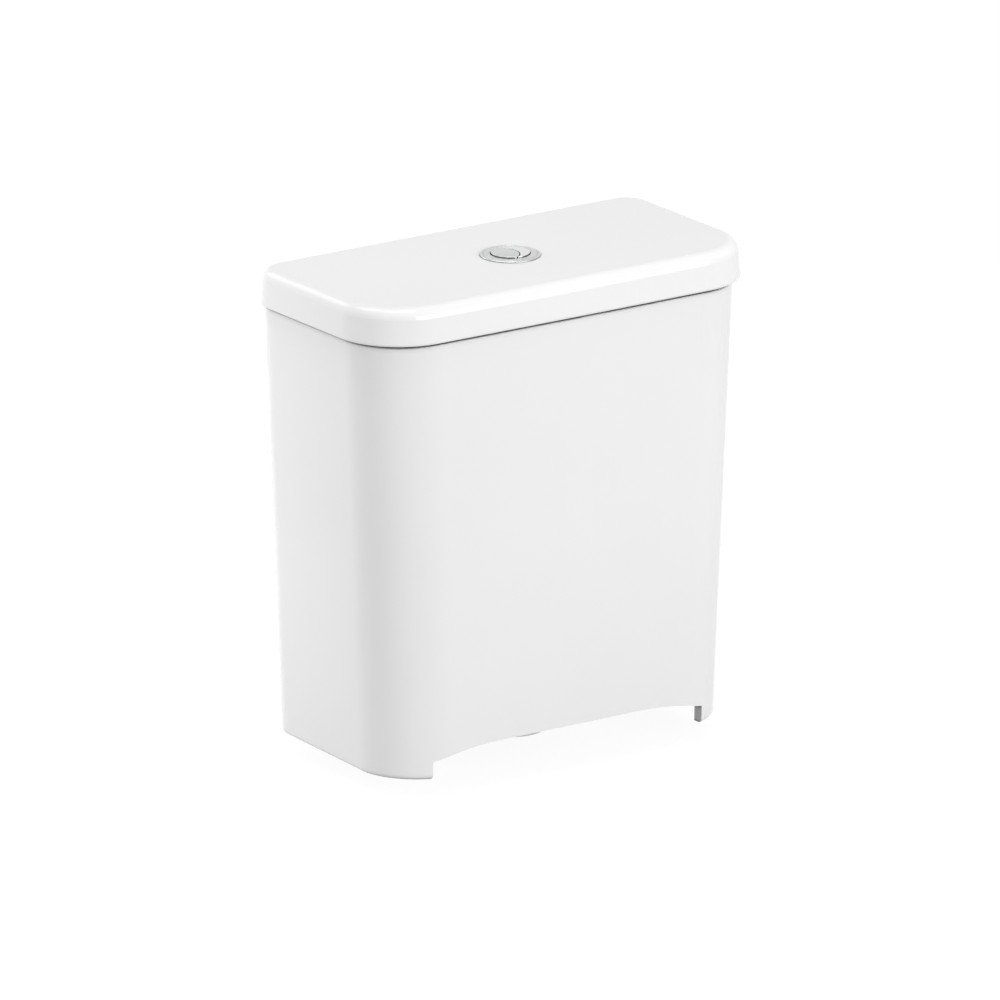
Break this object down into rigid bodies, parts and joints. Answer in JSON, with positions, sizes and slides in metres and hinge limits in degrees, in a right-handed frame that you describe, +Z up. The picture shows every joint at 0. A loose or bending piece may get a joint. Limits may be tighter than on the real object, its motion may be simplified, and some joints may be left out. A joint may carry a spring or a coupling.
{
  "type": "toilet cistern",
  "caption": "Close-coupled white ceramic toilet cistern with lift-off lid, round two-part push button, flush valve and float-operated fill valve.",
  "frame": {"origin": "on the flush outlet's axis, at the end of its nose, level with the tank's two feet", "axes": "+X to the right seen from the front, +Y to the wall, +Z up"},
  "size_m": [0.3698, 0.1829, 0.4047],
  "materials": {
    "ceramic": "glossy white glaze",
    "chrome": "satin chrome plate",
    "white_plastic": "moulded, satin",
    "grey_plastic": "moulded, satin",
    "blue_plastic": "moulded, satin",
    "rubber": "matt black",
    "steel": "stainless",
    "acetal": "moulded, satin"
  },
  "bodies": {
    "tank": {"tank": "ceramic", "valve_base": "white_plastic", "base_washer": "rubber", "outlet_backnut": "white_plastic", "coupling_gasket": "rubber", "valve_tower": "white_plastic", "lever_pin": "steel", "fixing_bolts": "steel", "bolt_top_washers": "steel", "bolt_cone_seals": "rubber", "bolt_under_washers": "steel", "bolt_lock_nuts": "steel", "inlet_shank": "acetal", "inlet_washer": "rubber", "inlet_backnut": "white_plastic", "inlet_strainer": "grey_plastic", "fill_head": "white_plastic", "refill_tube": "grey_plastic", "diaphragm": "rubber", "fill_cap": "blue_plastic", "arm_pin": "steel"},
    "lid": {"lid": "ceramic", "button_bezel": "chrome", "button_nut": "white_plastic", "full_spring": "steel", "half_spring": "steel"},
    "full_button": {"full_button": "chrome", "full_rod": "grey_plastic"},
    "half_button": {"half_button": "chrome", "half_rod": "grey_plastic"},
    "full_lever": {"full_lever": "blue_plastic"},
    "half_lever": {"half_lever": "blue_plastic"},
    "plunger": {"overflow_tube": "grey_plastic", "lift_yoke": "white_plastic", "seal_carrier": "grey_plastic", "flush_seal": "rubber", "seal_retainer": "grey_plastic", "flush_float": "white_plastic"},
    "fill_float": {"fill_float": "white_plastic", "adjusting_rod": "grey_plastic", "rod_clips": "white_plastic"},
    "float_arm": {"float_arm": "blue_plastic"}
  },
  "joints": [
    {"name": "lid_lift", "type": "slide", "parent": "tank", "child": "lid", "axis": [0, 0, 1], "range_m": [0, 0.075]},
    {"name": "full_press", "type": "slide", "parent": "lid", "child": "full_button", "axis": [0, 0, -1], "range_m": [0, 0.006], "stiffness_N_per_m": 400, "springref_m": -0.006, "deforming": ["full_spring"]},
    {"name": "half_press", "type": "slide", "parent": "lid", "child": "half_button", "axis": [0, 0, -1], "range_m": [0, 0.006], "stiffness_N_per_m": 400, "springref_m": -0.006, "deforming": ["half_spring"]},
    {"name": "full_lever_turn", "type": "hinge", "parent": "tank", "child": "full_lever", "pos_m": [0, -0.007, 0.3052], "axis": [0, -1, 0], "range_deg": [0, 38.21]},
    {"name": "half_lever_turn", "type": "hinge", "parent": "tank", "child": "half_lever", "pos_m": [0, 0.007, 0.3052], "axis": [0, 1, 0], "range_deg": [0, 38.21]},
    {"name": "plunger_lift", "type": "slide", "parent": "tank", "child": "plunger", "axis": [0, 0, 1], "range_m": [0, 0.01467]},
    {"name": "float_rise", "type": "slide", "parent": "tank", "child": "fill_float", "axis": [0, 0, 1], "range_m": [0, 0.022]},
    {"name": "float_arm_turn", "type": "hinge", "parent": "tank", "child": "float_arm", "pos_m": [0.124, 0.03, 0.3032], "axis": [0, 1, 0], "range_deg": [0, 31.52]}
  ],
  "couplings": [
    {"joint": "full_lever_turn", "follows": "full_press", "rad_per_m": 111.11},
    {"joint": "plunger_lift", "follows": "full_press", "ratio": 2.4444},
    {"joint": "half_lever_turn", "follows": "half_press", "rad_per_m": 111.11},
    {"joint": "float_arm_turn", "follows": "float_rise", "rad_per_m": 25}
  ]
}
